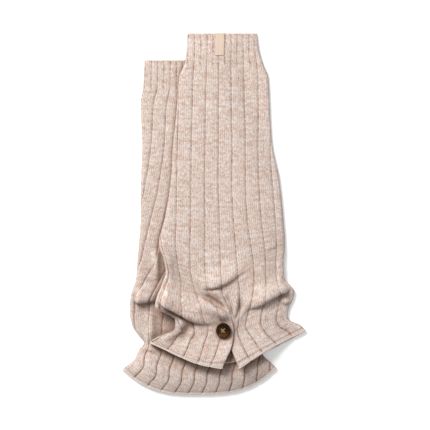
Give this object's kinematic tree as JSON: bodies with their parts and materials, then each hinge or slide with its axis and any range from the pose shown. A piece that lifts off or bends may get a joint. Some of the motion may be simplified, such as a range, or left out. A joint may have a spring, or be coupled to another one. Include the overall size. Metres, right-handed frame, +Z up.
{
  "type": "pair of leg warmers",
  "caption": "Ribbed knit leg warmers laid flat, one partly on the other, each a tube with a fine-rib cuff; the top one has a slit at its hem held by a button.",
  "frame": {"origin": "middle of the laid pair's outline, on the surface that it lies on", "axes": "+Y along the leg warmers towards their cuffs, +X to the right seen from above with the cuffs up, +Z up"},
  "size_m": [0.233, 0.4612, 0.0318],
  "materials": {
    "knit": "matt ribbed knit of heathered pale pink-beige yarn",
    "label": "plain woven satin tape, pale peach",
    "button": "polished dark brown horn look with amber streaks"
  },
  "bodies": {
    "root": {"upper_cuff": "knit", "upper_leg": "knit", "upper_label": "label", "upper_button": "button", "under_cuff": "knit", "under_leg": "knit"}
  },
  "joints": []
}
